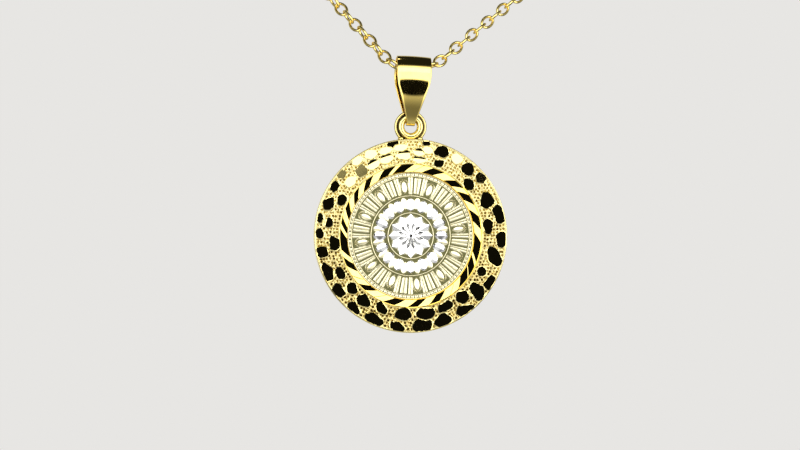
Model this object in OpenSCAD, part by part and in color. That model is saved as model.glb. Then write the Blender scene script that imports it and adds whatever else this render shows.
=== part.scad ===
// A round medallion with a nugget frame, hung by a strap bail from a fine cable chain.
// The shapes are placed from the medallion's centre: X to the right, Y to the back, Z up.
// The whole is then moved so that the chain's highest point, at the nape of the neck, is the origin.

/* [Medallion] */
// Outer diameter of the medallion
medallion_d = 25; // [22:0.5:28]
// Thickness from the flat back to the top of the pads
medallion_t = 1.75; // [1.4:0.05:2.4]
// Radius of the centre plate
plate_r = 8.2; // [7.8:0.05:8.2]
// Thickness of the centre plate under its relief
plate_t = 0.95; // [0.7:0.05:1]
// Width of the band of slanted cuts
band_w = 1.0; // [0.8:0.05:1.1]
// How high the pads stand above the stippled ground
pad_rise = 0.14; // [0.08:0.01:0.2]
// How high the relief stands above the plate
relief_rise = 0.14; // [0.08:0.01:0.2]

/* [Rings on top] */
// Height of the rings' centre above the medallion's centre
ring_up = 14.06; // [13.9:0.02:14.2]
// Radius of the thick ring, to the middle of its wire
thick_ring_r = 1.27; // [1.26:0.01:1.3]
// Thickness of the thick ring's wire
thick_wire = 0.94; // [0.92:0.02:1]
// Radius of the thin ring, to the middle of its wire
thin_ring_r = 1.88; // [1.84:0.01:1.88]
// Thickness of the thin ring's wire
thin_wire = 0.44; // [0.44:0.01:0.5]

/* [Bail] */
// Width of the bail at its crown
bail_w = 4.45; // [4:0.05:4.5]
// Width of the bail at its tip
bail_tip_w = 1.15; // [0.8:0.05:1.2]
// Depth of the crown from front to back
bail_depth = 3.9; // [3.7:0.05:4.2]
// Thickness of the strap
strap_t = 0.34; // [0.3:0.02:0.36]
// How far the strap's sides close in towards the tip
flank_a = 22; // [21.5:0.25:22.5]
// How far the bail leans to the right
bail_lean = 3; // [0:0.5:3.5]

/* [Chain] */
// Length of the whole necklace
chain_len = 457; // [440:1:500]
// Diameter of the tube that stands for the links
chain_d = 1.3; // [1.1:0.1:1.3]
// How steeply the left strand rises, seen from the front
left_rise = 52.5; // [48:0.5:55]
// How steeply the right strand rises, seen from the front
right_rise = 38.5; // [35:0.5:42]
// How far the chain's plane leans back from upright
lean_back = 40; // [30:1:50]
// Outer diameter of the clasp
clasp_d = 5.5; // [5:0.1:7]

/* [Hidden] */
$fn = 96;
gold = [0.93, 0.76, 0.36];
pale_gold = [0.9, 0.86, 0.66];

// Medallion
medallion_r = medallion_d / 2;
plate_gap = 0.07;
hole_r = plate_r + plate_gap;
band_r = hole_r + band_w;
ground_z = medallion_t - pad_rise;
band_low_z = plate_t + 0.1;
edge_round = 0.25;
cut_count = 20;
cut_slant = 38;
cut_tilt = 14;
cut_w = 1.05;
cut_len = 4;
cut_h = 3;

// Pads, charted by hand: degrees clockwise from the top, radius, length along the ring, width across it
PADS = [
    [9.6, 12.05, 0.85, 0.5], [10, 10.95, 1.3, 0.9], [20, 11.52, 1.6, 1.2], [21, 9.99, 1.2, 0.85],
    [30.6, 11.56, 1.15, 1.15], [40.6, 11.33, 1.5, 1.5], [48.5, 9.96, 1.55, 1.1], [50.4, 11.72, 1.4, 1],
    [65, 10.8, 1.75, 1.4], [76.1, 11.74, 2.2, 1.3], [83.2, 10.08, 1.95, 0.92], [92.5, 11.73, 2.05, 1.2],
    [103.4, 11, 2.2, 1.3], [116.7, 10.22, 1.1, 0.97], [120.7, 11.9, 1.95, 0.9], [129.8, 11.08, 1.5, 2.4],
    [140, 10.27, 1.5, 1.2], [143.9, 11.87, 2.2, 1.15], [154.3, 10.09, 1.75, 0.97], [159.6, 11.6, 2.3, 1.2],
    [169.5, 10.13, 2.4, 1.1], [172.9, 11.6, 2.5, 1.4], [186, 10.14, 1.95, 1.3], [188.8, 11.77, 1.6, 0.93],
    [202.6, 9.99, 1.5, 0.97], [204.2, 11.6, 2.3, 0.97], [216.4, 10.31, 1.85, 1.2], [219.5, 11.85, 1.8, 0.97],
    [228.6, 10.17, 1.4, 1], [233.3, 11.61, 1.85, 1.1], [242.6, 10.36, 1.4, 1], [247.1, 11.79, 2.25, 1],
    [259.7, 11.68, 1.2, 1.3], [264.4, 10, 1.9, 0.9], [271.5, 11.83, 1.05, 0.85], [279.1, 10.74, 1.15, 0.6],
    [281, 12.05, 1, 0.75], [291, 11.4, 1.5, 1.2], [297, 10.1, 1.4, 0.95], [302.5, 11.75, 1.3, 0.8],
    [311, 12.05, 1.05, 0.65], [311.5, 10.5, 1.3, 1], [323.2, 10.57, 1.05, 0.8], [324.1, 12.05, 1.2, 0.8],
    [336, 11.75, 1.4, 0.8], [340.5, 10.7, 1.5, 0.45], [348.5, 12.1, 1.5, 0.52], [353, 10.85, 1.3, 0.5],
];
pad_corners = 12;
pad_squareness = 2.6;
pad_foot_z = 0.4;

// Relief on the plate
panel_count = 24;
panel_r = 5.2;
rib_w = 0.16;
petal_count = 16;
petal_r = 3.1;
petal_side = [0.8, 0.42];
petal_end_gap = 0.2;
star_points = 12;
star_r = 2.9;
star_notch = 0.7;

// Rings on top
thin_ring_back = 0.2;
foot_x = 1.22;
foot_r = 0.4;

// Bail, from the middle of its tip: the flanks run up to its widest level, where the crown begins
tip_up = ring_up + 1.05;
flank_len = 4.89;
crown_len = 3.2;
shoulder_low = 4.3;
shoulder_high = 5.5;
shoulder_low_w = 0.46 * bail_w;
tip_r = (bail_depth / 2 - tan(flank_a) / 2 * flank_len) / (cos(flank_a) + tan(flank_a) * sin(flank_a) / 2);
flank_foot = -tip_r * sin(flank_a);
flank_bend = tan(flank_a) / (flank_len - flank_foot);
arc_steps = 10;

// Chain, in a plane that leans back: u runs to the right and v up along it
chain_up = 21.75;
chain_x = 0.33;
chain_bend = 2.5;
bend_cut = 0.5;
bend_middle = 0.1;
left_a = atan(tan(left_rise) / cos(lean_back));
right_a = atan(tan(right_rise) / cos(lean_back));
half_a = (180 - left_a - right_a) / 2;
vertex_v = 2 * chain_bend / (1 / tan(left_a) + 1 / tan(right_a));
vertex_u = chain_x - chain_bend + vertex_v / tan(left_a);
spare = vertex_v / sin(left_a) + vertex_v / sin(right_a) - 2 * chain_bend;
neck_r = (chain_len + spare) / (2 / tan(half_a) + (180 + 2 * half_a) * PI / 180);
toward_neck = (180 - left_a + right_a) / 2;
neck_u = vertex_u + neck_r / sin(half_a) * cos(toward_neck);
neck_v = neck_r / sin(half_a) * sin(toward_neck) - vertex_v;
nape = on_chain_plane([neck_u, neck_v + neck_r]);
clasp_wire = 1.1;
clasp_gap = 0.15;
clasp_half_a = asin((clasp_d / 2 + clasp_gap) / neck_r);
tube_sides = 8;
strand_rings = 9;
arc_rings = 56;

function on_chain_plane(p) = [p[0], p[1] * sin(lean_back), chain_up + p[1] * cos(lean_back)];
function on_neck(a) = [neck_u + neck_r * cos(a), neck_v + neck_r * sin(a)];
function between(a, b, t) = a * (1 - t) + b * t;
function unit(v) = v / norm(v);

// Both ends of the chain meet the clasp at the top. The strands leave the neck where they are tangent to it.
left_corner = [chain_x - chain_bend, 0];
right_corner = [chain_x + chain_bend, 0];
left_up = [-cos(left_a), sin(left_a)];
right_up = [cos(right_a), sin(right_a)];
left_tangent_a = 180 + 90 - left_a;
right_tangent_a = right_a - 90;
route = concat(
    [for (i = [0 : arc_rings / 2]) on_neck(between(90 + clasp_half_a, left_tangent_a, i * 2 / arc_rings))],
    [for (i = [1 : strand_rings - 1])
        between(on_neck(left_tangent_a), left_corner + left_up * bend_cut, i / strand_rings)],
    [left_corner + left_up * bend_cut, left_corner + [bend_middle, bend_middle]],
    [left_corner + [bend_cut, 0], [chain_x, 0], right_corner - [bend_cut, 0]],
    [right_corner + [-bend_middle, bend_middle], right_corner + right_up * bend_cut],
    [for (i = [1 : strand_rings - 1])
        between(right_corner + right_up * bend_cut, on_neck(right_tangent_a), i / strand_rings)],
    [for (i = [0 : arc_rings / 2]) on_neck(between(right_tangent_a, 90 - clasp_half_a, i * 2 / arc_rings))]
);
path = [for (p = route) on_chain_plane(p)];

// A tube through the points. Its rings lie square to the path, and one side of each faces along the plane's normal.
module tube(points, r, sides, normal) {
    last = len(points) - 1;
    rings = [for (i = [0 : last])
        let (ahead = unit(points[min(i + 1, last)] - points[max(i - 1, 0)]), side = unit(cross(ahead, normal)))
        for (k = [0 : sides - 1])
            points[i] + r * (side * cos(k * 360 / sides) + normal * sin(k * 360 / sides))];
    walls = [for (i = [0 : last - 1]) for (k = [0 : sides - 1])
        let (a = i * sides, b = a + sides, n = (k + 1) % sides)
        [a + k, a + n, b + n, b + k]];
    ends = [[for (k = [sides - 1 : -1 : 0]) k], [for (k = [0 : sides - 1]) last * sides + k]];
    polyhedron(rings, concat(walls, ends), convexity = 6);
}

module at_medallion() {
    translate([0, medallion_t / 2, 0]) rotate([90, 0, 0]) children();
}

// The outline of a polished pad, a rounded block whose long side follows the ring
module pad(length, width) {
    power = 2 / pad_squareness;
    polygon([for (i = [0 : pad_corners - 1])
        let (c = cos((i + 0.5) * 360 / pad_corners), s = sin((i + 0.5) * 360 / pad_corners))
        [length / 2 * sign(c) * pow(abs(c), power), width / 2 * sign(s) * pow(abs(s), power)]]);
}

module pad_field() {
    translate([0, 0, pad_foot_z]) linear_extrude(medallion_t - pad_foot_z) intersection() {
        for (p = PADS) rotate(-p[0]) translate([0, p[1]]) pad(p[2], p[3]);
        difference() {
            circle(medallion_r - 0.05);
            circle(band_r + 0.08);
        }
    }
}

// The flat ring with its sloping band of cuts inside
module frame_ring() {
    rotate_extrude()
        polygon([
            [hole_r, 0], [medallion_r - edge_round, 0], [medallion_r, edge_round],
            [medallion_r, ground_z - edge_round], [medallion_r - edge_round, ground_z],
            [band_r, ground_z], [hole_r, band_low_z]
        ]);
}

module slanted_cuts() {
    slope = atan((ground_z - band_low_z) / band_w);
    for (i = [0 : cut_count - 1])
        rotate(-i * 360 / cut_count)
            translate([0, (hole_r + band_r) / 2, (band_low_z + ground_z) / 2])
                rotate([slope, 0, 0])
                    rotate(cut_slant)
                        rotate([0, cut_tilt, 0])
                            translate([-cut_w / 2, -cut_len / 2, 0])
                                cube([cut_w, cut_len, cut_h]);
}

// Two rings that touch all round, and a foot on each side where the thin one meets the rim
module rings_on_top() {
    translate([0, ring_up, medallion_t / 2]) rotate_extrude() {
        translate([thick_ring_r, 0]) circle(d = thick_wire);
        translate([thin_ring_r, -thin_ring_back]) circle(d = thin_wire);
    }
    for (side = [-1, 1])
        translate([side * foot_x, medallion_r - foot_r / 2, medallion_t / 2 - thin_ring_back - foot_r])
            cylinder(r = foot_r, h = 2 * foot_r);
}

module nugget_frame() {
    color(gold) at_medallion() {
        difference() {
            frame_ring();
            intersection() {
                slanted_cuts();
                translate([0, 0, plate_t]) cylinder(r = band_r, h = medallion_t);
            }
        }
        pad_field();
        rings_on_top();
    }
}

module relief_ring(r, w) {
    difference() {
        circle(r + w / 2);
        circle(r - w / 2);
    }
}

// A rosette of petals inside a ring of panels between ribs
module relief() {
    relief_ring(plate_r - rib_w, rib_w * 1.6);
    relief_ring(panel_r, rib_w * 1.4);
    for (i = [0 : panel_count - 1]) rotate((i + 0.5) * 360 / panel_count)
        translate([panel_r, -rib_w / 2]) square([plate_r - panel_r - rib_w, rib_w]);
    for (i = [0 : petal_count - 1]) rotate(i * 360 / petal_count)
        polygon([
            [petal_r, 0], [petal_r + petal_side[0], -petal_side[1]],
            [panel_r - petal_end_gap, 0], [petal_r + petal_side[0], petal_side[1]]
        ]);
    polygon([for (i = [0 : 2 * star_points - 1])
        star_r * (i % 2 == 0 ? 1 : star_notch) * [cos(i * 180 / star_points), sin(i * 180 / star_points)]]);
}

module face_plate() {
    color(pale_gold) at_medallion() {
        cylinder(r = plate_r, h = plate_t);
        linear_extrude(plate_t + relief_rise) relief();
    }
}

// One side of the bail's side view, from the bottom of the tip to the top of the crown. Each row is a point on the
// strap's outer face, depth and height, and the direction in which that face looks.
tip_rows = [for (i = [0 : arc_steps - 1])
    let (a = -90 + (90 - flank_a) * i / arc_steps)
    [tip_r * cos(a), tip_r * sin(a), cos(a), sin(a)]];
flank_rows = [for (i = [0 : arc_steps - 1])
    let (z = between(flank_foot, flank_len, i / arc_steps), slope = flank_bend * (flank_len - z))
    [bail_depth / 2 - slope * (flank_len - z) / 2, z, cos(atan(slope)), -sin(atan(slope))]];
crown_rows = [for (i = [0 : arc_steps])
    let (a = 90 * i / arc_steps, look = unit([cos(a) / bail_depth * 2, sin(a) / crown_len]))
    [bail_depth / 2 * cos(a), flank_len + crown_len * sin(a), look[0], look[1]]];
strap_rows = concat(tip_rows, flank_rows, crown_rows);

module strap_outline(inset) {
    side = [for (r = strap_rows) [r[0] - inset * r[2], r[1] - inset * r[3]]];
    last = len(side) - 1;
    polygon(concat(side, [for (i = [last - 1 : -1 : 1]) [-side[i][0], side[i][1]]]));
}

module bail() {
    top = flank_len + crown_len + 1;
    bottom = -tip_r - 0.1;
    neck = -tip_r / 2;
    color(gold) translate([0, 0, tip_up]) rotate([0, bail_lean, 0]) intersection() {
        rotate([90, 0, 90]) translate([0, 0, -bail_w]) linear_extrude(2 * bail_w) difference() {
            strap_outline(0);
            strap_outline(strap_t);
        }
        rotate([90, 0, 0]) translate([0, 0, -bail_depth]) linear_extrude(2 * bail_depth) polygon([
            [-bail_tip_w / 2, neck], [-bail_tip_w / 2, bottom], [bail_tip_w / 2, bottom], [bail_tip_w / 2, neck],
            [shoulder_low_w, shoulder_low], [bail_w / 2, shoulder_high], [bail_w / 2, top],
            [-bail_w / 2, top], [-bail_w / 2, shoulder_high], [-shoulder_low_w, shoulder_low]
        ]);
    }
}

module chain() {
    color(gold) tube(path, chain_d / 2, tube_sides, [0, -cos(lean_back), sin(lean_back)]);
}

// A plain ring in the chain's plane, which both of its ends meet
module clasp() {
    color(gold) translate(nape) rotate([90 - lean_back, 0, 0])
        rotate_extrude() translate([(clasp_d - clasp_wire) / 2, 0]) circle(d = clasp_wire);
}

translate(-nape) {
    nugget_frame();
    face_plate();
    bail();
    chain();
    clasp();
}
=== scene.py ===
import math

import bmesh
import bpy
import numpy as np
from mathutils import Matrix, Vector


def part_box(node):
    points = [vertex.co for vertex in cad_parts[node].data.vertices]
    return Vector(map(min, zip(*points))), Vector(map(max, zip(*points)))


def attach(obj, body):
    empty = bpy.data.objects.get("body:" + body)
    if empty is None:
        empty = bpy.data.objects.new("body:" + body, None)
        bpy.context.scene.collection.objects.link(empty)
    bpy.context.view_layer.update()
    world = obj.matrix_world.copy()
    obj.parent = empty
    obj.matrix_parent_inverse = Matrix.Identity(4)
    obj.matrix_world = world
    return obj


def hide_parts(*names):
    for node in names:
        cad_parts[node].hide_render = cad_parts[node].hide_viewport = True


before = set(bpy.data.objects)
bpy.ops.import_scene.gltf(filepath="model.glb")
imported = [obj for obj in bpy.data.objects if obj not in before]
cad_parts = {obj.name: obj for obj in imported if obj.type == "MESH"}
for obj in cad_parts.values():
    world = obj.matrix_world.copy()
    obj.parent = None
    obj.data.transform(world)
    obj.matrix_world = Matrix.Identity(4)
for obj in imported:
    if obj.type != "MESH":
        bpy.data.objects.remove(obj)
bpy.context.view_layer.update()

MM = 0.001
rng = np.random.default_rng(12)

# The medallion, in millimetres from its centre: x to the right, y up and z from its flat back to its front
MEDALLION_R, MEDALLION_T = 12.5, 1.75
PLATE_R, PLATE_T = 8.2, 0.95
HOLE_R, BAND_R = 8.27, 9.27
PAD_RISE = 0.14
GROUND_Z = MEDALLION_T - PAD_RISE
BAND_LOW_Z = PLATE_T + 0.1
RING_UP = 14.06
THICK_RING_R, THICK_WIRE = 1.27, 0.94
THIN_RING_R, THIN_WIRE, THIN_RING_BACK = 1.88, 0.44, 0.2
FOOT_X, FOOT_SIZE = 1.22, (0.42, 0.36, 0.4)

# The bail: its side view and widths upwards from the middle of its tip, and the section of its strap
TIP_UP = RING_UP + 1.05
BAIL_W, BAIL_TIP_W, BAIL_DEPTH, STRAP_T = 4.45, 1.15, 3.9, 0.3
FLANK_A, FLANK_LEN, CROWN_LEN = math.radians(24.1), 4.4, 3.69
TIP_END, SHOULDER_LOW, SHOULDER_HIGH, SHOULDER_SHARE = -0.48, 4.3, 5.5, 0.92
STRAP_CORNER, STRAP_CROWN = 0.07, 0.08
BAIL_LEAN = math.radians(3)

# The chain's plane leans back, and its strands run straight from the bail to the neck
CHAIN_LEN = 457
CHAIN_UP, CHAIN_X, CHAIN_BEND, BEND_CUT, BEND_MIDDLE = 21.75, 0.33, 2.5, 0.5, 0.1
LEFT_RISE, RIGHT_RISE, LEAN_BACK = math.radians(52.5), math.radians(38.5), math.radians(40)
CLASP_D, CLASP_WIRE = 5.5, 1.1
TAG_R, TAG_WIRE, TAG_OUT, SOLDER_SIZE = 0.45, 0.3, 0.2, (0.5, 0.62, 0.58)
LINK_PITCH, LINK_W, LINK_WIRE, LINK_PLAY = 1.68, 1.65, 0.36, 0.01

# How far the even links and the odd ones turn on their way through the bail, and how unevenly all of them lie
LEFT_TWIST, LINK_SWAY = np.radians([74, 92]), 0.12
# Past the bail's right end the links are turned back a little, so that they clear the strap. The turn comes
# and goes between these distances from the bail's middle.
BEND_TURN, BEND_TURN_COMES, BEND_TURN_GOES = 0.3, (1.2, 2.2), (5.2, 3.4)
LINK_STEPS, LINK_SIDES = 24, 9

low, high = (np.array(corner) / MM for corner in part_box("nugget_frame"))
CENTRE = np.array([(low[0] + high[0]) / 2, high[1] - MEDALLION_T / 2, low[2] + MEDALLION_R])


def on_medallion(points):
    """Points given on the medallion, in millimetres, as points in the frame, in metres."""
    x, y, z = np.moveaxis(np.asarray(points, float), -1, 0)
    return (np.stack([x, MEDALLION_T / 2 - z, y], -1) + CENTRE) * MM


def from_centre(points):
    """Points in the frame's own directions, in millimetres from the medallion's centre, in metres."""
    return (np.asarray(points, float) + CENTRE) * MM


def smooth(start, end, x):
    """0 before the start and 1 past the end, with a soft step between. The end may be the lower one."""
    t = np.clip((x - start) / (end - start), 0, 1)
    return t * t * (3 - 2 * t)


def around(count):
    """This many even angles round a full turn."""
    return np.arange(count) * math.tau / count


def ripple(x, y, scale, seed, waves=7):
    """A soft uneven field, mostly between -1 and 1, whose features are about one scale wide."""
    draw = np.random.default_rng(seed)
    total = np.zeros(np.broadcast(x, y).shape)
    for _ in range(waves):
        turn, phase = draw.uniform(0, math.tau, 2)
        size = draw.uniform(0.7, 1.5) * scale
        total += np.sin((x * math.cos(turn) + y * math.sin(turn)) * math.tau / size + phase)
    return total / math.sqrt(waves)


class Surface:
    """Collects patches, which are grids of points with values, and makes them one object."""

    def __init__(self, name, values=()):
        self.name, self.fields = name, {value: [] for value in values}
        self.points, self.faces, self.count = [], [], 0

    def patch(self, points, close_rows=True, **fields):
        """Adds a grid of points and the fields' values there. Each row closes on itself, and the last row on
        the first unless close_rows is off."""
        rows, columns = points.shape[:2]
        number = np.arange(rows * columns).reshape(rows, columns)
        number = np.hstack([number, number[:, :1]])
        if close_rows:
            number = np.vstack([number, number[:1]])
        corners = number[:-1, :-1], number[:-1, 1:], number[1:, 1:], number[1:, :-1]
        a, b, c, d = (corner.ravel() for corner in corners)
        flat = points.reshape(-1, 3)
        # Each square is split along its shorter diagonal, so that a steep edge across it stays clean
        split = np.linalg.norm(flat[a] - flat[c], axis=1) < np.linalg.norm(flat[b] - flat[d], axis=1)
        split = split[:, None]
        halves = (np.where(split, np.stack([a, b, c], 1), np.stack([a, b, d], 1)),
                  np.where(split, np.stack([a, c, d], 1), np.stack([b, c, d], 1)))
        self.faces.append(np.concatenate(halves) + self.count)
        self.points.append(flat)
        for value, field in self.fields.items():
            field.append(np.broadcast_to(fields.get(value, 0.0), (rows, columns)).ravel())
        self.count += rows * columns

    def make(self, body, node, material, crease):
        """The object, with flat facets kept sharp where they meet at more than the crease, in degrees."""
        mesh = bpy.data.meshes.new(self.name)
        mesh.from_pydata(np.concatenate(self.points), [], np.concatenate(self.faces).tolist())
        work = bmesh.new()
        work.from_mesh(mesh)
        bmesh.ops.recalc_face_normals(work, faces=work.faces)
        work.to_mesh(mesh)
        work.free()
        for value, field in self.fields.items():
            attribute = mesh.attributes.new(value, "FLOAT", "POINT")
            attribute.data.foreach_set("value", np.concatenate(field).astype(np.float32))
        mesh.shade_smooth()
        mesh.set_sharp_from_angle(angle=math.radians(crease))
        mesh.materials.append(material)
        piece = bpy.data.objects.new(self.name, mesh)
        bpy.context.scene.collection.objects.link(piece)
        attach(piece, body)
        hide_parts(node)


class Shade:
    """A socket of a node, with the arithmetic that the shading is written in."""

    def __init__(self, nodes, socket):
        self.nodes, self.socket = nodes, socket

    def _maths(self, operation, *terms):
        return self.nodes.node("ShaderNodeMath", {"operation": operation}, terms)

    def __add__(self, other):
        return self._maths("ADD", self, other)

    def __sub__(self, other):
        return self._maths("SUBTRACT", self, other)

    def __rsub__(self, other):
        return self._maths("SUBTRACT", other, self)

    def __mul__(self, other):
        return self._maths("MULTIPLY", self, other)

    def __abs__(self):
        return self._maths("ABSOLUTE", self)

    __radd__ = __add__
    __rmul__ = __mul__


class Nodes:
    """The nodes of a material or of the room."""

    def __init__(self, tree):
        self.tree = tree

    def node(self, kind, settings, sockets, out=0):
        """A node of this type. It takes its settings first, then sockets in order, or by number or name."""
        made = self.tree.nodes.new(kind)
        for setting, value in settings.items():
            setattr(made, setting, value)
        for socket, value in (sockets.items() if isinstance(sockets, dict) else enumerate(sockets)):
            self.join(value, made.inputs[socket])
        return Shade(self, made.outputs[out])

    def join(self, value, socket):
        """Sets a socket to a value, or links it."""
        if isinstance(value, Shade):
            self.tree.links.new(value.socket, socket)
        else:
            socket.default_value = (*value, 1) if socket.type == "RGBA" else value

    def between(self, factor, colour_a, colour_b):
        """One colour turning into another."""
        return self.node("ShaderNodeMix", {"data_type": "RGBA"}, {0: factor, 6: colour_a, 7: colour_b}, out=2)

    def step(self, value, start, end, low, high):
        """A smooth change from low to high while the value goes from start to end."""
        return self.node("ShaderNodeMapRange", {"interpolation_type": "SMOOTHSTEP"}, {
            "Value": value, "From Min": start, "From Max": end, "To Min": low, "To Max": high})


class Finish(Nodes):
    """One metal finish: a Principled shader and the nodes that feed it."""

    def __init__(self, name):
        self.material = bpy.data.materials.new(name)
        self.material.use_nodes = True
        super().__init__(self.material.node_tree)
        self.shader = self.tree.nodes["Principled BSDF"]
        self.shader.inputs["Metallic"].default_value = 1
        where = self.node("ShaderNodeTexCoord", {}, (), out="Object")
        self.place = self.node("ShaderNodeVectorMath", {"operation": "SCALE"}, {0: where, "Scale": 1 / MM})

    def field(self, name):
        """A value that the mesh carries at its points."""
        return self.node("ShaderNodeAttribute", {"attribute_name": name}, (), out="Fac")

    def uneven(self, place, scale):
        """Uneven values around a half."""
        sockets = {"Vector": place, "Scale": scale, "Detail": 3.0}
        return self.node("ShaderNodeTexNoise", {}, sockets, out="Fac")

    def noise(self, size):
        """Uneven values with features about this many millimetres wide."""
        return self.uneven(self.place, 1 / size)

    def brushed(self):
        """Uneven values in fine upright lines."""
        drawn_out = self.node("ShaderNodeVectorMath", {"operation": "MULTIPLY"}, (self.place, BRUSH_LINES))
        return self.uneven(drawn_out, 1.0)

    def bump(self, height, depth):
        """The normal of a surface that rises by the depth, in millimetres, where the height is 1."""
        return self.node("ShaderNodeBump", {}, {"Distance": depth * MM, "Height": height}, out="Normal")

    def feed(self, colour, roughness, normal):
        """The material, once these reach its shader."""
        for socket, value in (("Base Color", colour), ("Roughness", roughness), ("Normal", normal)):
            self.join(value, self.shader.inputs[socket])
        return self.material


# Metal colours
GOLD = (0.94, 0.69, 0.15)
BRIGHT_GOLD = (1.0, 0.83, 0.31)
GRAIN_GOLD = (1.0, 0.88, 0.42)
# Colours of painted shade: brown where the shade is half strong, near black where it is full, in pits and
# grooves
PAINTED_SHADE_BROWN = (0.45, 0.30, 0.06)
PAINTED_SHADE_DARK = (0.03, 0.018, 0.003)
WHITE_GOLD = (0.95, 0.95, 0.93)
OLIVE = (0.08, 0.075, 0.026)
SAGE = (0.20, 0.195, 0.085)
PALE_GOLD = (1.0, 0.93, 0.62)

# How many brushed lines a millimetre of the back holds, across them and along them
BRUSH_LINES = (14, 14, 0.5)


def nugget_gold():
    """Mirror pads and cuts on a bright grainy ground, with painted shade: brown at the edge of its pits and
    dark in them, darker towards the bottom and along the groove between the hoops.
    """
    gold = Finish("nugget_gold")
    polish, pit, cut, back = (gold.field(name) for name in ("polish", "pit", "cut", "back"))
    grain, lines = gold.noise(0.18), gold.brushed()
    colour = gold.between(gold.noise(2.5) * 0.5, GRAIN_GOLD, BRIGHT_GOLD)
    colour = gold.between(polish, colour, BRIGHT_GOLD)
    colour = gold.between(cut, colour, gold.between(gold.noise(0.8), BRIGHT_GOLD, GOLD))
    # Painted shade: brown at half strength, near black at full strength, in the pits, low on the ring and in
    # the grooves
    colour = gold.between(gold.step(pit, 0, 0.5, 0, 1), colour, PAINTED_SHADE_BROWN)
    colour = gold.between(gold.step(pit, 0.3, 0.9, 0, 1), colour, PAINTED_SHADE_DARK)
    rough = 0.33 - 0.29 * polish + 0.06 * (grain - 0.5) + 0.16 * back * lines
    height = grain * (1 - polish) * (1 - cut) * (1 - back) + lines * back
    return gold.feed(colour, rough, gold.bump(height, 0.006))


def plate_gold():
    """White bright-cut facets, pale gold lines and a frosted olive ground."""
    plate = Finish("plate_gold")
    frost, white, back = (plate.field(name) for name in ("frost", "white", "back"))
    grain, lines = plate.noise(0.09), plate.brushed()
    metal = plate.between(white, PALE_GOLD, WHITE_GOLD)
    front = plate.between(frost, metal, plate.between(grain, OLIVE, SAGE))
    colour = plate.between(back, front, BRIGHT_GOLD)
    rough = 0.30 + 0.16 * frost - 0.18 * white - 0.1 * back + 0.05 * (grain - 0.5) + 0.16 * back * lines
    return plate.feed(colour, rough, plate.bump(grain * frost + 0.2 * lines * back, 0.03))


def polished_gold(name, roughness, light=BRIGHT_GOLD):
    """Plain polished gold with faint wipe marks."""
    gold = Finish(name)
    wear = gold.noise(0.8)
    colour = gold.between(0.4 + 0.5 * wear, light, GOLD)
    return gold.feed(colour, roughness + 0.06 * wear, gold.bump(wear, 0.002))


# Pads, charted: degrees clockwise from the top, radius, length along the ring, width across it, the
# outward tilt in degrees of those that catch the light, and how far the clockwise end is turned outwards in
# degrees
PADS = np.array([
    [5, 10.75, 1.15, 0.8, 10, 0], [6.5, 9.85, 1.4, 0.6, 9, 0], [9.6, 12.05, 0.9, 0.5, 0, 0],
    [11, 11.25, 1.2, 0.75, 10, 0], [20, 11.52, 1.6, 1.2, 0, 10], [21, 9.99, 1.25, 0.85, 0, 25],
    [30.6, 11.56, 1.2, 1.15, 7, 0], [40.6, 11.33, 1.55, 1.5, 0, 0], [48.5, 9.96, 1.6, 1.1, 0, 0],
    [50.4, 11.72, 1.45, 1, 3.1, 0], [65, 10.8, 2, 1.45, 0, -25], [76.1, 11.8, 2.25, 1.35, 0, 0],
    [83.2, 10.08, 1.95, 0.95, 0, 0], [92.5, 11.83, 2.1, 1.25, 0, -8], [103.6, 11.15, 2.5, 1.3, 0, 40],
    [116.7, 10.22, 1.2, 1, 0, 15], [120.7, 11.93, 2, 0.95, 0, 0], [129.8, 11.13, 1.45, 2.5, 0, -14],
    [140, 10.32, 1.55, 1.35, 0, 0], [143.9, 11.88, 2.35, 1.05, 0, -18], [154.3, 10.14, 2, 0.97, 0, 0],
    [159.6, 11.72, 2.4, 1.25, 0, -8], [169.5, 10.18, 2.5, 1.2, 0, 0], [172.9, 11.68, 2.6, 1.45, 0, 0],
    [186, 10.2, 2.1, 1.35, 0, 0], [188.8, 11.88, 1.8, 0.97, 0, -8], [202.6, 10.1, 1.75, 0.92, 0, -25],
    [204.2, 11.8, 2.6, 1.1, 0, 0], [216.4, 10.39, 2, 1.2, 0, 0], [218.8, 12.0, 1.9, 0.9, 0, 0],
    [228.6, 10.17, 1.5, 1.1, 0, -10], [233.3, 11.7, 1.9, 1.1, 0, -8], [242.6, 10.36, 1.5, 1, 0, 10],
    [247.1, 11.8, 2.3, 0.95, 0, 6], [259.7, 11.68, 1.25, 1.3, 0, 0], [264.4, 10, 1.9, 0.95, 0, 15],
    [271.5, 11.83, 1.1, 0.9, 0, 0], [279.1, 10.74, 1.2, 0.7, 0, 0], [281, 12.05, 1, 0.75, 0, 0],
    [291, 11.4, 1.5, 1.2, 0, 0], [297, 10.1, 1.4, 0.95, 0, 0], [302.5, 11.75, 1.35, 0.9, 0, 0],
    [311, 12.0, 1.1, 0.7, 5.5, 0], [311.5, 10.5, 1.35, 1, 7, 0], [322.5, 10.5, 1.4, 1, 2.7, 0],
    [324.1, 11.95, 1.3, 0.85, 8, 0], [333.5, 11.7, 1.5, 0.9, 9, 0], [332, 10.4, 1.4, 1.0, 9, 0],
    [343, 11.42, 1.45, 0.66, 10, 0], [342, 10.42, 1.5, 1.0, 9, 0], [348.5, 12.1, 1.5, 0.52, 0, 0],
    [353, 11.42, 1.5, 0.66, 10, 0], [354.3, 10.42, 1.6, 1.05, 10, 0],
])

# How sharp the pads' corners are, how far the pads swell past their chart, half the wall between two that
# meet, how wide their sloping sides are, the slope that each may lean by at random, and how far to each side
# of its middle a pad is drawn, in radians
PAD_SHARPNESS, PAD_GROWTH, PAD_GAP, PAD_WALL, PAD_LEAN, PAD_SPAN = 9, 0.10, 0.06, 0.07, 0.045, 0.4
# Pads inside this radius with at least this tilt turn level at this share of their width from their middle
FOLDED_INSIDE, FOLDED_TILT, PAD_FOLD = 11, 9, 0.25

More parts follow.
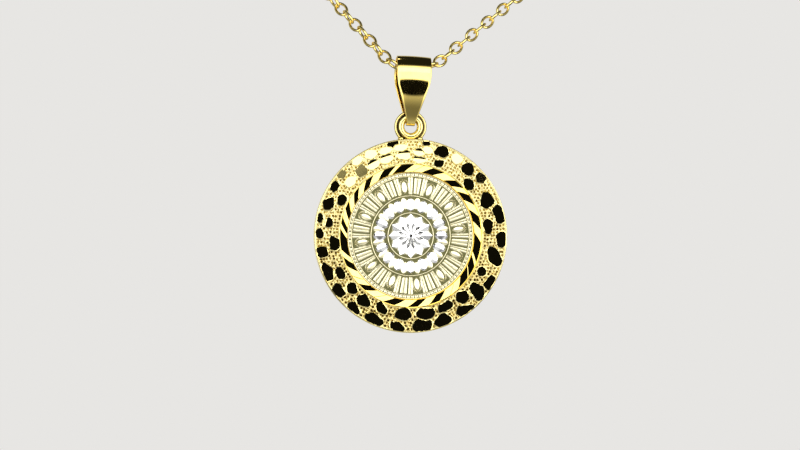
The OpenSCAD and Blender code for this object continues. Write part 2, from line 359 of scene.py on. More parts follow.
# The punched ground: its first row, the distances between rows and along them, and the pits' size and depth
PIT_ROW, PIT_ROW_STEP, PIT_STEP = 9.6, 0.41, 0.43
PIT_FLOOR_R, PIT_R, PIT_DEPTH = 0.08, 0.185, 0.13
RIDGE_RISE = 0.05

# The band's mirror cuts, charted: degrees clockwise from the top, and degrees across
CUTS = np.array([
    [19.6, 10.3], [39.9, 9.3], [56.1, 9.8], [76, 11.4], [100.3, 17], [117, 9.5], [128.3, 11], [156.7, 9.5],
    [174.9, 8.5], [194.5, 10.2], [220.2, 7.8], [245.1, 8.3], [263.5, 17.5], [279, 6], [292, 7.5], [306, 7],
    [320.5, 7.5], [338.8, 10], [353.4, 10.5],
])
# All of them slant alike. The bright facets between them have about this length and rise.
CUT_SLANT = math.radians(9.5)
FACET_LEN, FACET_RISE = 1.75, 0.25

# Points of the ring's mesh: round it, across the band and across the field of pads
RING_COLUMNS, BAND_ROWS, FIELD_ROWS = 1140, 13, 55
RIM_ROUND = 0.16


def pad_edges(r, turn):
    """How far each point lies outside the nearest pad, which pad that is, where on it the point lies, and the
    direction away from it."""
    far_off = 9.0
    nearest, second = np.full(r.shape, far_off), np.full(r.shape, far_off)
    which = np.zeros(r.shape, int)
    along, across, out_a, out_b = (np.zeros(r.shape) for _ in range(4))
    for i, (angle, radius, length, width, _, turned) in enumerate(PADS):
        away = (turn - math.radians(angle) + math.pi) % math.tau - math.pi
        near = np.abs(away) < PAD_SPAN
        a, b = away[near] * radius, r[near] - radius
        # A pad is an uneven polygon: how far its sides lie from its middle, and which way they face
        sides = rng.integers(5, 8)
        looks = (np.arange(sides) + rng.uniform(-0.25, 0.25, sides)) * math.tau / sides + rng.uniform(0, 1)
        reach = np.hypot(length / 2 * np.cos(looks), width / 2 * np.sin(looks))
        reach = reach * rng.uniform(0.88, 1.06, sides)
        looks = looks + math.radians(turned)
        size, slope_a, slope_b = 1e-9, 0.0, 0.0
        for look, far in zip(looks, reach):
            part = np.maximum((a * math.cos(look) + b * math.sin(look)) / far, 0)
            size = size + part ** PAD_SHARPNESS
            slope_a = slope_a + part ** (PAD_SHARPNESS - 1) * math.cos(look) / far
            slope_b = slope_b + part ** (PAD_SHARPNESS - 1) * math.sin(look) / far
        size = size ** (1 / PAD_SHARPNESS)
        steep = np.hypot(slope_a, slope_b) + 1e-9
        edge = (size - 1) / (steep / size ** (PAD_SHARPNESS - 1) + 1e-3) - PAD_GROWTH
        closer = edge < nearest[near]
        second[near] = np.where(closer, nearest[near], np.minimum(second[near], edge))
        for whole, part in ((nearest, edge), (which, i), (along, a), (across, b), (out_a, slope_a / steep),
                            (out_b, slope_b / steep)):
            whole[near] = np.where(closer, part, whole[near])
    # Where two pads would meet, a thin wall stays between them
    return np.maximum(nearest, PAD_GAP - (second - nearest) / 2), which, along, across, out_a, out_b


def pad_tops(which, along, across):
    """The height of the nearest pad's top. Each leans a little, and those that catch the light are tilted."""
    draw = np.random.default_rng(3)
    lean = draw.uniform(-PAD_LEAN, PAD_LEAN, (len(PADS), 2))
    tilt = np.tan(np.radians(PADS[:, 4]))
    drop = 0.04 + draw.uniform(0.0, 0.03, len(PADS)) + 0.25 * (tilt + np.abs(lean[:, 1]))
    top = MEDALLION_T - drop[which] + along * lean[which, 0] + across * lean[which, 1]
    # The outer part of the inner tilted pads is level, so a dark crescent stays along its edge
    folded = (PADS[:, 1] < FOLDED_INSIDE) & (PADS[:, 4] >= FOLDED_TILT)
    fold = PADS[:, 3] * np.where(folded, PAD_FOLD, 1)
    top = top - tilt[which] * np.minimum(across, fold[which])
    return np.minimum(top, MEDALLION_T - 0.005)


def stipple(r, turn):
    """How deep the punched pits are at each point, from 0 to 1. They lie in rows round the ring, not quite
    evenly, and are wider at the bottom."""
    row = np.round((r - PIT_ROW) / PIT_ROW_STEP)
    row_r = PIT_ROW + row * PIT_ROW_STEP
    count = np.round(math.tau * row_r / PIT_STEP)
    place = turn / math.tau * count + row * 0.5
    spot = np.round(place)

    def uneven(shift):
        value = np.sin(spot * 12.9898 + row * 78.233 + shift) * 43758.5453
        return value - np.floor(value)

    away = np.hypot((place - spot) * math.tau * row_r / count + 0.18 * (uneven(0) - 0.5),
                    r - row_r + 0.16 * (uneven(1) - 0.5))
    return (1 - smooth(PIT_FLOOR_R, PIT_R - 0.03 * np.cos(turn), away)) * (0.45 + 0.55 * uneven(2))


def band_cuts():
    """Each column's angle, whether it is on a mirror cut, and how far up a bright facet it is."""
    column = math.tau / RING_COLUMNS
    turn = np.arange(RING_COLUMNS) * column
    mirror, rise = np.zeros(RING_COLUMNS), np.zeros(RING_COLUMNS)
    starts = np.radians(CUTS[:, 0] - CUTS[:, 1] / 2)
    ends = np.radians(CUTS[:, 0] + CUTS[:, 1] / 2)
    for start, end, following in zip(starts, ends, [*starts[1:], starts[0] + math.tau]):
        first, last, after = (round(edge / column) for edge in (start, end, following))
        turn[first % RING_COLUMNS], turn[last % RING_COLUMNS] = start, end
        mirror[np.arange(first, last + 1) % RING_COLUMNS] = 1
        # Bright facets of about one length fill the stretch up to the next cut, all of one slope
        wanted = (following - end) * (HOLE_R + BAND_R) / 2 / FACET_LEN
        facets = math.ceil(wanted)
        steps = np.arange(last + 1, after)
        part = (steps - last) / (after - last) * facets
        # The facets face away from the floor on both sides of the ring
        downwards = math.cos((end + following) / 2 - math.radians(35)) < 0
        rise[steps % RING_COLUMNS] = wanted / facets * (np.ceil(part) - part if downwards else part % 1)
    return turn, mirror, rise


def ring_front(turn, mirror, rise):
    """The ring's front: the band of cuts, then the field of pads on the punched ground."""
    band = np.linspace(HOLE_R, BAND_R, BAND_ROWS)
    field = np.linspace(BAND_R, MEDALLION_R - RIM_ROUND, FIELD_ROWS)[1:]
    radii = np.concatenate([band, field])
    s = np.clip((radii - HOLE_R) / (BAND_R - HOLE_R), 0, 1)[:, None]
    r = np.broadcast_to(radii[:, None], (len(radii), RING_COLUMNS))
    # The columns lean with the cuts across the band, so that each cut's edges run along them
    t = turn[None, :] + (s - 0.5) * CUT_SLANT

    # The band: level mirror cuts, slanted bright cuts between them, and a step up to the ground
    band_z = BAND_LOW_Z + 0.22 + 0.05 * s + rise * FACET_RISE
    band_z = band_z + (GROUND_Z - band_z) * smooth(0.93, 1.0, s)
    on_band = (s < 1) & (r < BAND_R + 1e-6)

    # Points near a pad's edge, or near the foot of its wall, move onto it, so that both are clean lines
    edge, which, along, across, out_a, out_b = pad_edges(r, t)
    reach = np.maximum(np.abs(out_a) * r * math.tau / RING_COLUMNS, np.abs(out_b) * (field[1] - field[0])) / 2
    off = np.where(edge < PAD_WALL / 2, edge, edge - PAD_WALL)
    snap = np.where((np.abs(off) < reach) & ~on_band & (r < MEDALLION_R - 0.2), off, 0.0)
    r, t = r - snap * out_b, t - snap * out_a / r
    along, across, edge = along - snap * out_a, across - snap * out_b, edge - snap

    # The ground: pits, and smooth ridges round the pads and along both rims of the field
    pits = stipple(r, t) * smooth(0.08, 0.16, edge) * smooth(BAND_R + 0.08, BAND_R + 0.18, r)
    pits = pits * (1 - smooth(MEDALLION_R - 0.36, MEDALLION_R - 0.28, r))
    hem = 1 - smooth(0.03, 0.1, np.abs(r - (BAND_R + 0.07)))
    rim = smooth(MEDALLION_R - 0.34, MEDALLION_R - 0.26, r)
    ridges = np.maximum.reduce([1 - smooth(0.08, 0.15, edge), hem, rim])
    ground_z = GROUND_Z + 0.012 * ripple(r * np.cos(t), r * np.sin(t), 0.6, 8) - PIT_DEPTH * pits
    inside = 1 - np.clip(edge / PAD_WALL, 0, 1)
    field_z = pad_tops(which, along, across) * inside + (1 - inside) * (ground_z + RIDGE_RISE * ridges)
    on_pad = 1 - smooth(0.0, 0.02, edge)

    # Painted shade: the ground gets darker towards the bottom, and there a painted dark line, with no groove
    # under it, parts it from the band
    shade = (0.14 - 0.10 * np.cos(t)) * (1 - ridges)
    groove_shade = 0.4 * (1 - smooth(0.03, 0.1, np.abs(r - (BAND_R + 0.02)))) * smooth(0.2, -0.5, np.cos(t))
    # Painted shade in the pits, stronger towards the bottom and none on the pads, then the painted dark line
    # at the band's edge
    pit = np.maximum(pits * (0.9 - 0.3 * np.cos(t)), shade) * (1 - on_pad)
    pit = np.maximum(np.where(on_band, 0, pit), groove_shade * (1 - on_pad * ~on_band))
    z = np.where(on_band, band_z, field_z)
    polish = np.where(on_band, 0.5 + 0.5 * mirror, on_pad)
    cut = np.where(on_band, 1 - mirror, 0)
    return np.stack([r * np.sin(t), r * np.cos(t), z], -1), polish, pit, cut


def round_row(turn, radius, height):
    """A row of points at these angles."""
    return np.stack([radius * np.sin(turn), radius * np.cos(turn), np.full(turn.shape, height)], -1)


def ring_back(turn):
    """The ring's rounded shoulder, its edge, its flat back and the wall of its hole."""
    rim, shoulder = MEDALLION_R, GROUND_Z + 0.08
    # Each row has its radius, its height and how far it is turned with the slant of the front
    rows = [(rim - RIM_ROUND * (1 - math.sin(a)), shoulder - RIM_ROUND * (1 - math.cos(a)), 0.5)
            for a in np.linspace(0.2, math.pi / 2, 4)]
    rows += [(rim, 1.0, 0.5), (rim, 0.5, 0.5), (rim, 0.2, 0.5), (rim - 0.06, 0.06, 0.5), (rim - 0.2, 0, 0.5),
             (rim - 0.4, 0, 0.5), (10.9, 0, 0.2), (HOLE_R + 0.1, 0, -0.4), (HOLE_R, 0.05, -0.5),
             (HOLE_R, 0.6, -0.5)]
    return np.stack([round_row(turn + share * CUT_SLANT, radius, height) for radius, height, share in rows])


def nugget_ring(body):
    """The frame's ring: heights, polish, painted shade in its pits and cuts over its front, then its edge and
    its brushed back.
    """
    turn, mirror, rise = band_cuts()
    front, polish, pit, cut = ring_front(turn, mirror, rise)
    plain = ring_back(turn)
    blank = np.zeros(plain.shape[:2])
    behind = (plain[:, :, 2] < 0.01).astype(float)
    body.patch(on_medallion(np.concatenate([front, plain])), polish=np.concatenate([polish, blank + 0.5]),
               pit=np.concatenate([pit, blank]), cut=np.concatenate([cut, blank]),
               back=np.concatenate([0 * cut, behind]))


def hoop(centre, radius, wire, steps, sides):
    """A ring of round wire that faces the front."""
    a, b = np.meshgrid(around(steps), around(sides), indexing="ij")
    r = radius + wire / 2 * np.cos(b)
    return np.array(centre) + np.stack([r * np.sin(a), r * np.cos(a), wire / 2 * np.sin(b)], -1)


def bead(centre, size, steps=24):
    """A rounded lump, closed at both poles."""
    a, b = np.meshgrid(np.linspace(0.02, math.pi - 0.02, steps // 2), around(steps), indexing="ij")
    unit = np.stack([np.sin(a) * np.cos(b), np.cos(a), np.sin(a) * np.sin(b)], -1)
    return np.array(centre) + unit * np.array(size)


def dressed_frame():
    """The ring with its pads, the two hoops on top of it and their feet."""
    body = Surface("nugget_frame_dressed", ("polish", "pit", "cut", "back"))
    nugget_ring(body)
    middle, sides = MEDALLION_T / 2, 32
    # Painted shade darkens the sides of the two hoops that face each other, along the groove between them,
    # over a faint brown tint
    outwards = np.cos(around(sides))[None, :]
    for radius, wire, setback, between_hoops_shade in (
            (THICK_RING_R, THICK_WIRE, 0, smooth(0.62, 0.9, outwards)),
            (THIN_RING_R, THIN_WIRE, THIN_RING_BACK, smooth(0.1, 0.5, -outwards))):
        wires = hoop((0, RING_UP, middle - setback), radius, wire, 96, sides)
        body.patch(on_medallion(wires), polish=0.8, cut=0.2, pit=0.1 + 0.9 * between_hoops_shade)
    for x in (-FOOT_X, FOOT_X):
        foot = bead((x, MEDALLION_R, middle - THIN_RING_BACK), FOOT_SIZE)
        body.patch(on_medallion(foot), close_rows=False, polish=0.6, cut=1.0)
    body.make("medallion", "nugget_frame", nugget_gold(), crease=25)


# The plate's ornament, from the middle outwards. Of rays: how far they reach, how far they are shifted and
# how notched their ends are
BOSS_R, SHORT_RAY, RAY = 0.5, (1.75, 0.5, 0.45), (2.82, 0.0, 0.24)
# Of leaves: where they start and end, and half their width
PETAL, BACK_PETAL, PANEL_LEAF = (3.08, 4.97, 0.68), (3.4, 5.05, 0.52), (5.45, 7.15, 0.38)
# Of round lines: the radius, half the width, the rise, and the rows of points before them
LINES = ((2.95, 0.07, 0.10, 2), (5.15, 0.07, 0.11, 34), (7.66, 0.06, 0.08, 30), (8.11, 0.085, 0.12, 6))
# Where the panels, their arches and reeds and the rim's beads start and end
PANEL_R, ARCH_ENDS, REED_ENDS, BEAD_ENDS = (5.30, 7.55), (5.45, 7.36), (5.42, 7.46), (7.77, 8.01)
ARCH_SPRING, ARCH_R, ARCH_SET_IN = 6.5, 0.9, 0.35
ARCH_RISE, LEAF_RISE, REED_RISE, RIB_RISE, PETAL_RISE = 0.08, 0.10, 0.07, 0.08, 0.19
RAYS, PETALS, PANELS = 12, 16, 24
PLATE_COLUMNS = 720
PLATE_COLUMN = math.tau / PLATE_COLUMNS
PLATE_GROUND = PLATE_T - 0.06
PLATE_DOME, PLATE_EYE_R = 0.05, 0.02


def sector(turn, count, shift=0.0):
    """The angle from the middle of the nearest of that many sectors, and its number."""
    place = turn * count / math.tau + shift
    number = np.round(place)
    return (place - number) * math.tau / count, number


def ray_tip(turn, reach, shift, notch):
    """How far out the rays reach at this angle."""
    away, _ = sector(turn, RAYS, shift)
    return reach * (1 - notch * np.abs(away) * RAYS / math.pi)


def roof(r, turn, shift):
    """The distance from the valley between two rays."""
    away, _ = sector(turn, RAYS, shift)
    return (math.pi / RAYS - np.abs(away)) * r


def round_line(x, half):
    """The height of a half-round line of this half width, where its crest is 1."""
    return np.sqrt(np.clip(1 - (x / half) ** 2, 0, 1))


def leaf_half(y, start, end, half):
    """Half the width of a pointed leaf at this distance along it."""
    t = np.clip((y - start) / (end - start), 0, 1)
    return half * np.sin(math.pi * t) ** 0.8


def leaf(x, y, start, end, half):
    """The height of a pointed leaf with a straight spine, where its crest is 1."""
    width = leaf_half(y, start, end, half)
    return np.clip(1 - np.abs(x) / (width + 1e-4), 0, 1) * (width > 0.02)


def arch_half(r):
    """Half the width of the pointed arch round a panel's leaf."""
    curve = np.sqrt(np.clip(ARCH_R ** 2 - (r - ARCH_SPRING) ** 2, 0, 1)) - ARCH_SET_IN
    return np.clip(np.where(r > ARCH_SPRING, curve, ARCH_R - ARCH_SET_IN), 0, 1)


def within(r, ends):
    """Whether the radius lies between these two."""
    return (r > ends[0]) & (r < ends[1])


def onto(r, t, count, shift, outline):
    """The points again, with those nearest to a mirrored outline moved onto it, so that its edge is clean."""
    away, _ = sector(t, count, shift)
    slope = np.abs(away) - (outline(r + 0.01) - outline(r - 0.01)) / 0.02
    steep = np.hypot(1, slope)
    off = (np.abs(away) * r - outline(r)) / steep
    reach = np.maximum(PLATE_COLUMN * r, np.abs(slope) * np.gradient(r, axis=0)) / steep / 2
    off = np.where((np.abs(off) < reach) & (outline(r) > 0.05), off, 0.0)
    return r - off * slope / steep, t - off * np.sign(away) / steep / r


def plate_rows(turn):
    """The radius of each row of points at each angle. Rows follow the outlines of the rays and the lines."""
    def circle(radius):
        return np.full(turn.shape, radius)

    marks = [(circle(PLATE_EYE_R), 1), (circle(BOSS_R), 5)]
    marks += [(ray_tip(turn, *SHORT_RAY), 6), (ray_tip(turn, *RAY), 9)]
    for radius, half, _, steps in LINES:
        marks += [(circle(radius - half), steps), (circle(radius + half), 6)]
    rows = [marks[0][0]]
    for (start, _), (end, steps) in zip(marks, marks[1:]):
        rows += [start + (end - start) * k / steps for k in range(1, steps + 1)]
    return np.stack(rows)


def ornament(r, t):
    """Height over the plate's ground, frost and whiteness: rays, petals, and panels between ribs."""
    height, white, shiny = (np.zeros(r.shape) for _ in range(3))

    def put(shape, amount, whiteness=0.0):
        nonlocal height, white, shiny
        height = np.maximum(height, shape * amount)
        white = np.where(shape > 0.02, whiteness, white)
        shiny = np.maximum(shiny, smooth(0.0, 0.25, shape))

    # Panels by turns with a leaf under a pointed arch and with reeds, a double rib between them, and round
    # them a beaded rim
    away, number = sector(t, PANELS, 0.5)
    x = away * r
    reeded = (number % 2).astype(bool)
    zone = within(r, PANEL_R)
    arch = np.abs(x) - arch_half(r)
    put(np.clip(1 - (arch / 0.11) ** 2, 0, 1) ** 2 * (zone & ~reeded & within(r, ARCH_ENDS)), ARCH_RISE)
    put(leaf(x, r, *PANEL_LEAF) * zone * ~reeded, LEAF_RISE)
    reed, _ = sector(t, PANELS * 4, 0.5)
    reeds = round_line(reed, 2.8 * PLATE_COLUMN)
    put(reeds * (zone & reeded & (np.abs(away) < 8.0 * PLATE_COLUMN) & within(r, REED_ENDS)), REED_RISE)
    put(reeds * within(r, BEAD_ENDS), REED_RISE)
    border = math.pi / PANELS - np.abs(away)
    put(round_line(border - 2.4 * PLATE_COLUMN, 2.1 * PLATE_COLUMN) * zone, RIB_RISE)

    # Petals, a white one over a gold one behind it
    away, _ = sector(t, PETALS, 0.5)
    put(leaf(away * r, r, *BACK_PETAL), LEAF_RISE)
    away, _ = sector(t, PETALS)
    put(leaf(away * r, r, *PETAL), PETAL_RISE, 1.0)
    for radius, half, amount, _ in LINES:
        put(round_line(r - radius, half), amount)

    # Rays that are little roofs, short ones before them, and a round boss
    in_ray = r < ray_tip(t, *RAY) + 1e-6
    height = np.where(in_ray, 0.02 + 0.31 * roof(r, t, 0.0), height)
    short_tip = ray_tip(t, *SHORT_RAY)
    short = 0.13 + 0.22 * (short_tip - r) + 0.30 * roof(r, t, 0.5)
    height = np.where(r < short_tip + 1e-6, np.minimum(short, 0.34), height)
    height = np.where(r < BOSS_R + 1e-6, 0.26 + 0.14 * round_line(r, BOSS_R + 0.05), height)
    return height, np.where(in_ray, 0.0, 1 - shiny), np.where(in_ray, 1.0, white)


def relief_plate():
    """The plate: its ornament on a faint dome, and a plain back with a step round it."""
    turn = around(PLATE_COLUMNS)
    r = plate_rows(turn)
    t = np.broadcast_to(turn, r.shape)
    r, t = onto(r, t, PETALS, 0.5, lambda y: leaf_half(y, *BACK_PETAL))
    r, t = onto(r, t, PETALS, 0.0, lambda y: leaf_half(y, *PETAL))
    r, t = onto(r, t, PANELS // 2, 0.25, lambda y: leaf_half(y, *PANEL_LEAF))
    r, t = onto(r, t, PANELS // 2, 0.25, lambda y: np.where(within(y, ARCH_ENDS), arch_half(y), 0.0))
    height, frost, white = ornament(r, t)
    dome = PLATE_DOME * (1 - (r / PLATE_R) ** 2)
    front = np.stack([r * np.sin(t), r * np.cos(t), PLATE_GROUND + dome + height], -1)
    edge_r = HOLE_R + 0.02
    rows = ((PLATE_R, PLATE_T - 0.1), (PLATE_R, 0.62), (edge_r, 0.6), (edge_r, 0.1), (PLATE_R - 0.06, 0.0),
            (4.0, 0.0), (0.4, 0.0), (PLATE_EYE_R, 0.0))
    back = np.stack([round_row(turn, radius, height) for radius, height in rows])
    blank = np.zeros(back.shape[:2])
    plate = Surface("relief_plate", ("frost", "white", "back"))
    plate.patch(on_medallion(np.concatenate([front, back])), frost=np.concatenate([frost, blank]),
                white=np.concatenate([white, blank]), back=np.concatenate([0 * frost, blank + 1]))
    plate.make("medallion", "face_plate", plate_gold(), crease=18)


def strap_profile():
    """The bail's outer outline from the bottom of its tip round the front, the crown and the back: depth,
    height and the direction that the strap faces there."""
    half = BAIL_DEPTH / 2
    tip_r = (half - math.tan(FLANK_A) / 2 * FLANK_LEN) / (
        math.cos(FLANK_A) + math.tan(FLANK_A) * math.sin(FLANK_A) / 2)
    foot = -tip_r * math.sin(FLANK_A)
    bend = math.tan(FLANK_A) / (FLANK_LEN - foot)
    rows = []
    for a in np.linspace(-math.pi / 2, -FLANK_A, 14)[:-1]:
        rows.append((tip_r * math.cos(a), tip_r * math.sin(a), math.cos(a), math.sin(a)))
    for z in np.linspace(foot, FLANK_LEN, 36)[:-1]:
        slope = bend * (FLANK_LEN - z)
        look = math.atan(slope)
        rows.append((half - slope * (FLANK_LEN - z) / 2, z, math.cos(look), -math.sin(look)))
    for a in np.linspace(0, math.pi / 2, 30):
        look = np.array([math.cos(a) / half, math.sin(a) / CROWN_LEN])
        look = look / np.linalg.norm(look)
        rows.append((half * math.cos(a), FLANK_LEN + CROWN_LEN * math.sin(a), look[0], look[1]))
    one = np.array(rows)
    other = one[-2:0:-1] * np.array([-1, 1, -1, 1])
    return np.concatenate([one, other])


def strap_section():
    """Points round the strap's section: how far across the flat part they lie, how far beyond it and how far
    in at the corners, and whether they are on the inside."""
    flat = np.linspace(-1, 1, 17)
    arc = np.linspace(0, math.pi / 2, 5)
    into, out_of = arc[1:], arc[:-1]
    section = [(u, 0, 0, 0) for u in flat]
    section += [(1, math.sin(a), 1 - math.cos(a), 0) for a in into]
    section += [(1, math.cos(a), 1 - math.sin(a), 1) for a in out_of]
    section += [(u, 0, 0, 1) for u in -flat]
    section += [(-1, -math.sin(a), 1 - math.cos(a), 1) for a in into]
    section += [(-1, -math.cos(a), 1 - math.sin(a), 0) for a in out_of]
    return np.array(section).T


def bail_strap():
    """The strap with rounded edges and a slight crown across its front."""
    depth, up, look_y, look_z = (column[:, None] for column in strap_profile().T)
    across, beyond, sunk, inside = strap_section()
    half_w = np.interp(up, [TIP_END, SHOULDER_LOW, SHOULDER_HIGH],
                       [BAIL_TIP_W / 2, SHOULDER_SHARE * BAIL_W / 2, BAIL_W / 2])
    x = across * (half_w - STRAP_CORNER) + beyond * STRAP_CORNER
    crown = STRAP_CROWN * (2 * x / BAIL_W) ** 2
    inset = np.where(inside, STRAP_T - STRAP_CORNER * sunk, STRAP_CORNER * sunk + crown)
    y, z = inset * look_y - depth, up - inset * look_z
    c, s = math.cos(BAIL_LEAN), math.sin(BAIL_LEAN)
    bail = Surface("bail_strap")
    bail.patch(from_centre(np.stack([x * c + z * s, y, z * c - x * s + TIP_UP], -1)))
    bail.make("bail", "bail", polished_gold("bail_gold_polished", 0.035), crease=60)


def chain_route():
    """The chain's path as points in millimetres from the medallion's centre, from the clasp round to it."""
    left = math.atan(math.tan(LEFT_RISE) / math.cos(LEAN_BACK))
    right = math.atan(math.tan(RIGHT_RISE) / math.cos(LEAN_BACK))
    half = (math.pi - left - right) / 2
    vertex_v = 2 * CHAIN_BEND / (1 / math.tan(left) + 1 / math.tan(right))
    vertex_u = CHAIN_X - CHAIN_BEND + vertex_v / math.tan(left)
    spare = vertex_v / math.sin(left) + vertex_v / math.sin(right) - 2 * CHAIN_BEND
    neck_r = (CHAIN_LEN + spare) / (2 / math.tan(half) + math.pi + 2 * half)
    toward = (math.pi - left + right) / 2
    reach = neck_r / math.sin(half)
    neck = np.array([vertex_u + reach * math.cos(toward), reach * math.sin(toward) - vertex_v])

    def on_neck(start, end):
        return [neck + neck_r * np.array([math.cos(a), math.sin(a)]) for a in np.linspace(start, end, 160)]

    left_corner, right_corner = np.array([CHAIN_X - CHAIN_BEND, 0]), np.array([CHAIN_X + CHAIN_BEND, 0])
    route = on_neck(math.pi / 2, math.pi * 1.5 - left)
    route += [left_corner + BEND_CUT * np.array([-math.cos(left), math.sin(left)]),
              left_corner + BEND_MIDDLE, left_corner + [BEND_CUT, 0]]
    route += [right_corner - [BEND_CUT, 0], right_corner + BEND_MIDDLE * np.array([-1, 1]),
              right_corner + BEND_CUT * np.array([math.cos(right), math.sin(right)])]
    route += on_neck(right - math.pi / 2, math.pi / 2)
    u, v = np.array(route).T
    return np.stack([u, v * math.sin(LEAN_BACK), CHAIN_UP + v * math.cos(LEAN_BACK)], -1)


def even_stops(path, ends_gap):
    """Points along the path at even straight distances, between gaps at its two ends."""
    step = np.linalg.norm(np.diff(path, axis=0), axis=1)
    along = np.concatenate([[0], np.cumsum(step)])
    span = along[-1] - 2 * ends_gap
    count = 2 * round(span / LINK_PITCH / 2) + 1
    at = np.linspace(ends_gap, along[-1] - ends_gap, count + 1)
    for _ in range(60):
        points = np.stack([np.interp(at, along, path[:, k]) for k in range(3)], -1)
        chord = np.linalg.norm(np.diff(points, axis=0), axis=1)
        gaps = np.concatenate([[0], np.cumsum(np.diff(at) * chord.mean() / chord)])
        at = ends_gap + gaps * span / gaps[-1]
    return points


def cable_links():
    """Oval links, each about a quarter turn from the next, whose ends pass through each other."""
    nodes = even_stops(chain_route(), CLASP_D / 2 + 0.55)
    middle, ahead = (nodes[1:] + nodes[:-1]) / 2, nodes[1:] - nodes[:-1]
    pitch = np.linalg.norm(ahead, axis=1, keepdims=True)
    ahead = ahead / pitch
    wide = np.cross(ahead, [0.0, 1.0, 0.0])
    wide = wide / np.linalg.norm(wide, axis=1, keepdims=True)
    flat = np.cross(ahead, wide)
    turned = np.arange(len(middle)) % 2
    roll = turned * math.pi / 2 + rng.uniform(-LINK_SWAY, LINK_SWAY, len(middle))
    along = middle[:, 0] - CHAIN_X
    roll = roll + LEFT_TWIST[turned] * smooth(CHAIN_BEND, -CHAIN_BEND, along)
    roll = roll - BEND_TURN * smooth(*BEND_TURN_COMES, along) * smooth(*BEND_TURN_GOES, along)
    side = wide * np.cos(roll)[:, None] + flat * np.sin(roll)[:, None]
    normal = np.cross(ahead, side)
    a, b = around(LINK_STEPS), around(LINK_SIDES)
    half_w = (LINK_W - LINK_WIRE) / 2
    links = Surface("cable_links")
    for i in range(len(middle)):
        half_l = pitch[i, 0] / 2 + LINK_WIRE / 2 + LINK_PLAY
        centre = np.outer(half_l * np.cos(a), ahead[i]) + np.outer(half_w * np.sin(a), side[i])
        out = np.outer(half_w * np.cos(a), ahead[i]) + np.outer(half_l * np.sin(a), side[i])
        out = out / np.linalg.norm(out, axis=1, keepdims=True)
        wire = np.cos(b)[None, :, None] * out[:, None, :] + np.sin(b)[None, :, None] * normal[i]
        links.patch(from_centre(middle[i] + centre[:, None, :] + LINK_WIRE / 2 * wire))
    gold = polished_gold("chain_gold_polished", 0.15, GRAIN_GOLD)
    links.make("necklace", "chain", gold, crease=80)


def spring_ring():
    """The clasp at the nape: a ring with a small tag on each side that the end links pass through."""
    nape = chain_route()[0]
    c, s = math.cos(LEAN_BACK), math.sin(LEAN_BACK)

    def lay(points):
        x, y, z = np.moveaxis(points, -1, 0)
        return from_centre(nape + np.stack([x, y * s - z * c, y * c + z * s], -1))

    clasp = Surface("spring_ring")
    clasp.patch(lay(hoop((0, 0, 0), (CLASP_D - CLASP_WIRE) / 2, CLASP_WIRE - 0.1, 72, 20)))
    for side in (-1, 1):
        clasp.patch(lay(hoop((side * (CLASP_D / 2 + TAG_OUT), 0, 0), TAG_R, TAG_WIRE, 36, 12)))
        solder = bead((side * (CLASP_D / 2 - CLASP_WIRE / 2), 0, 0), SOLDER_SIZE)
        clasp.patch(lay(solder), close_rows=False)
    clasp.make("necklace", "clasp", polished_gold("clasp_gold_polished", 0.12), crease=60)


# Soft boxes that face the medallion: place in metres from its centre, width and height, and brightness
SOFT_BOXES = {
    "top_front_box": ((0.05, -0.43, 0.33), (0.34, 0.10), 0.6),
    "left_box": ((-0.40, -0.40, 0.10), (0.12, 0.40), 2.2),
    "right_box": ((0.46, -0.34, 0.08), (0.12, 0.40), 2.2),
    "top_box": ((0.0, -0.02, 0.55), (0.08, 0.06), 3.0),
    "over_floor": ((0.0, 0.0, 0.62), (0.9, 0.9), 2.0),
}
PAPER = (0.80, 0.79, 0.77)
FLOOR_R, FLOOR_PLACE = 0.42, (0.0, 0.02, -0.16)

# The room's light as the metal sees it: the directions of the dark opening in its ring and of what is beside
# it, the light in the opening, and its changes outwards, from and to these degrees from the opening's middle
OPENING, BESIDE_OPENING = (0.122, -0.993, 0.0), (0.993, 0.122, 0.0)
OPENING_LIGHT = 0.004
RING_OF_LIGHT = ((11, 15, 2.496), (45, 54, -2.2), (95, 150, 0.3), (150, 172, 0.2))
# Its changes with height, from and to these heights and these strengths: dimmer low down, a glow from the
# floor, and dimmer overhead. Under the opening a stretch of this height and width is dim.
LOW_DOWN, FLOOR_GLOW, OVERHEAD = (-0.5, -0.15, 0.3, 1.0), (-0.85, -0.6, 0.5, 0), (0.68, 0.82, 1.0, 0.05)
STRETCH_HEIGHT, STRETCH_WIDTH = (-0.21, -0.13, 0.75, 0), (0.07, 0.16, 1, 0)


def soft_box(name, place, size, brightness):
    """A lamp that the camera doesn't see."""
    data = bpy.data.lights.new(name, "AREA")
    data.shape, data.size, data.size_y = "RECTANGLE", size[0], size[1]
    data.energy = brightness * math.pi * size[0] * size[1]
    lamp = bpy.data.objects.new(name, data)
    lamp.location = Vector(CENTRE * MM) + Vector(place)
    lamp.rotation_euler = (-Vector(place)).to_track_quat("-Z", "Y").to_euler()
    lamp.visible_camera = False
    bpy.context.scene.collection.objects.link(lamp)
    return lamp


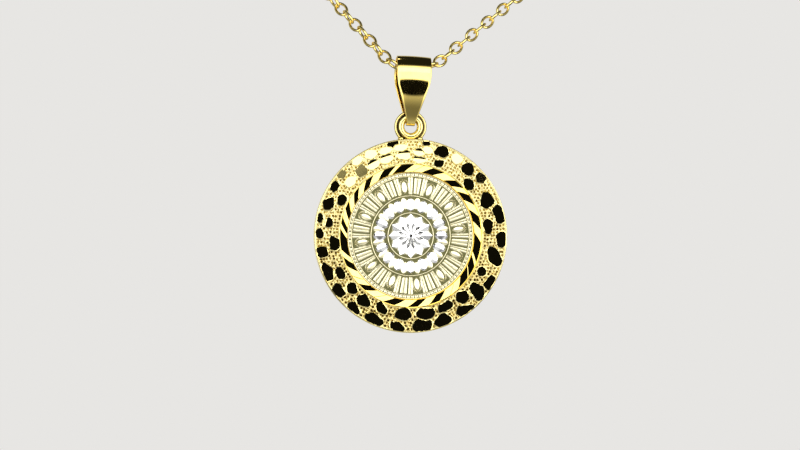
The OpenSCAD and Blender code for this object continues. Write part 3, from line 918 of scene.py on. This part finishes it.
def room():
    """Pale where the camera looks into it. In the metal it is a bright ring of light round a dark opening."""
    world = bpy.data.worlds.new("room")
    bpy.context.scene.world = world
    world.use_nodes = True
    walls = Nodes(world.node_tree)
    direction = walls.node("ShaderNodeTexCoord", {}, (), out="Generated")
    height = walls.node("ShaderNodeSeparateXYZ", {}, (direction,), out="Z")
    dot = {"operation": "DOT_PRODUCT"}
    front = walls.node("ShaderNodeVectorMath", dot, (direction, OPENING), out="Value")
    beside = walls.node("ShaderNodeVectorMath", dot, (direction, BESIDE_OPENING), out="Value")
    angle = walls.node("ShaderNodeMath", {"operation": "ARCCOSINE"}, (front,)) * math.degrees(1)
    changes = (walls.step(angle, start, end, 0, change) for start, end, change in RING_OF_LIGHT)
    ring = sum(changes, OPENING_LIGHT)
    low_down, floor_glow = walls.step(height, *LOW_DOWN), walls.step(height, *FLOOR_GLOW)
    overhead = walls.step(height, *OVERHEAD)
    stretch = 1 - walls.step(height, *STRETCH_HEIGHT) * walls.step(abs(beside), *STRETCH_WIDTH)
    strength = ring * low_down * overhead * stretch + floor_glow
    lit = walls.node("ShaderNodeBackground", {}, ((1, 1, 1), strength))
    seen = walls.node("ShaderNodeBackground", {}, (PAPER, 1.0))
    camera_ray = walls.node("ShaderNodeLightPath", {}, (), out="Is Camera Ray")
    shown = walls.node("ShaderNodeMixShader", {}, (camera_ray, lit, seen))
    walls.join(shown, world.node_tree.nodes["World Output"].inputs["Surface"])


def studio():
    """A pale floor under the pendant, soft boxes and a pale room. The metal doesn't show the floor."""
    lamps = {name: soft_box(name, *values) for name, values in SOFT_BOXES.items()}
    bpy.ops.mesh.primitive_circle_add(vertices=96, radius=FLOOR_R, fill_type="NGON")
    floor = bpy.context.object
    floor.name = "floor"
    floor.location = Vector(CENTRE * MM) + Vector(FLOOR_PLACE)
    paper = bpy.data.materials.new("floor_paper")
    paper.use_nodes = True
    paint = paper.node_tree.nodes["Principled BSDF"].inputs
    paint["Base Color"].default_value = (*PAPER, 1)
    paint["Roughness"].default_value = 0.9
    floor.data.materials.append(paper)
    floor.visible_glossy = lamps["over_floor"].visible_glossy = False
    room()


# The photograph's view: its width at the medallion, and where its middle lies from the medallion's centre
VIEW_W = 103.2
VIEW_RIGHT, VIEW_UP = -1.36, 1.39
VIEW_TURN = math.radians(-7)
LENS, SENSOR = 100.0, 36.0


def camera():
    """A level camera at the photograph's angle."""
    data = bpy.data.cameras.new("camera")
    data.lens, data.sensor_width = LENS, SENSOR
    data.clip_start, data.clip_end = 0.01, 20
    eye = bpy.data.objects.new("camera", data)
    right = Vector((math.cos(VIEW_TURN), math.sin(VIEW_TURN), 0))
    toward = Vector((-math.sin(VIEW_TURN), math.cos(VIEW_TURN), 0))
    target = Vector(CENTRE * MM) + (right * VIEW_RIGHT + Vector((0, 0, VIEW_UP))) * MM
    eye.location = target - toward * (VIEW_W * LENS / SENSOR * MM)
    eye.rotation_euler = toward.to_track_quat("-Z", "Y").to_euler()
    bpy.context.scene.collection.objects.link(eye)
    bpy.context.scene.camera = eye


camera()
dressed_frame()
relief_plate()
bail_strap()
cable_links()
spring_ring()
studio()
bpy.context.scene.view_settings.view_transform = "Standard"
